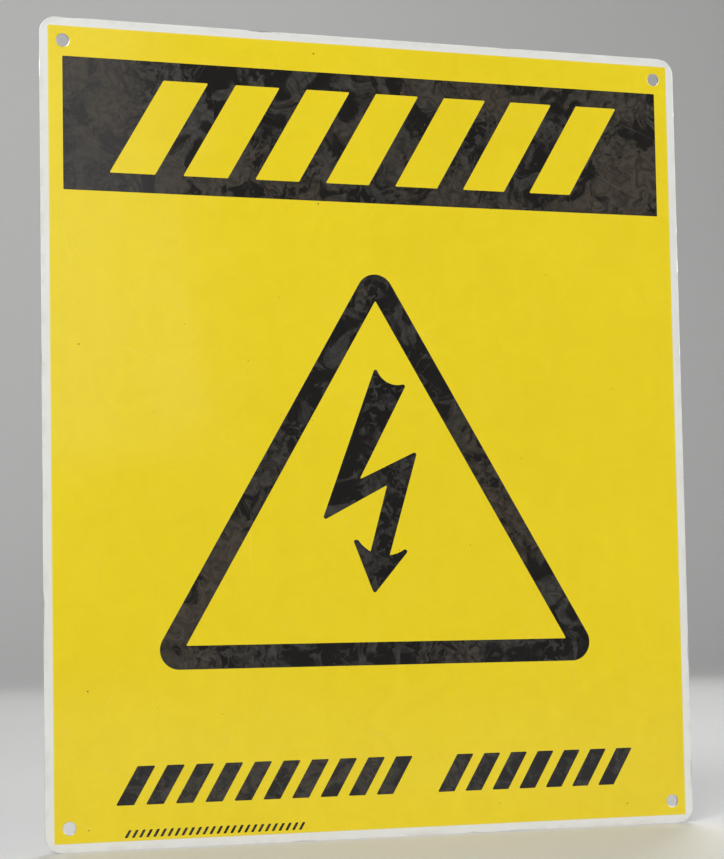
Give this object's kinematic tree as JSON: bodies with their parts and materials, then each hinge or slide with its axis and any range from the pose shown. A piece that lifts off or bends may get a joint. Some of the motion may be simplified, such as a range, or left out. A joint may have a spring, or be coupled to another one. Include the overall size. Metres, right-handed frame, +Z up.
{
  "type": "electrical hazard sign plate",
  "caption": "Flat aluminium hazard sign with a white border, yellow face, black header of leaning bars, warning triangle around a flash arrow, and a fixing hole at each corner.",
  "frame": {"origin": "centre of the sheet's bare back face", "axes": "+Z up, +X to the right for someone reading the sign, the printed face looks along -Y and the back along +Y"},
  "size_m": [0.254, 0.0012, 0.3048],
  "materials": {
    "bare_aluminium": "bare mill finish with a fine rolling grain",
    "white_enamel": "glossy baked enamel film",
    "yellow_ink": "glossy screen-printed ink film",
    "black_ink": "glossy screen-printed ink film"
  },
  "bodies": {
    "root": {"sheet_blank": "bare_aluminium", "white_enamel": "white_enamel", "yellow_field": "yellow_ink", "header_panel": "black_ink", "warning_triangle": "black_ink", "flash_arrow": "black_ink", "legend_left_ticks": "black_ink", "legend_right_ticks": "black_ink", "fine_print_ticks": "black_ink"}
  },
  "joints": []
}
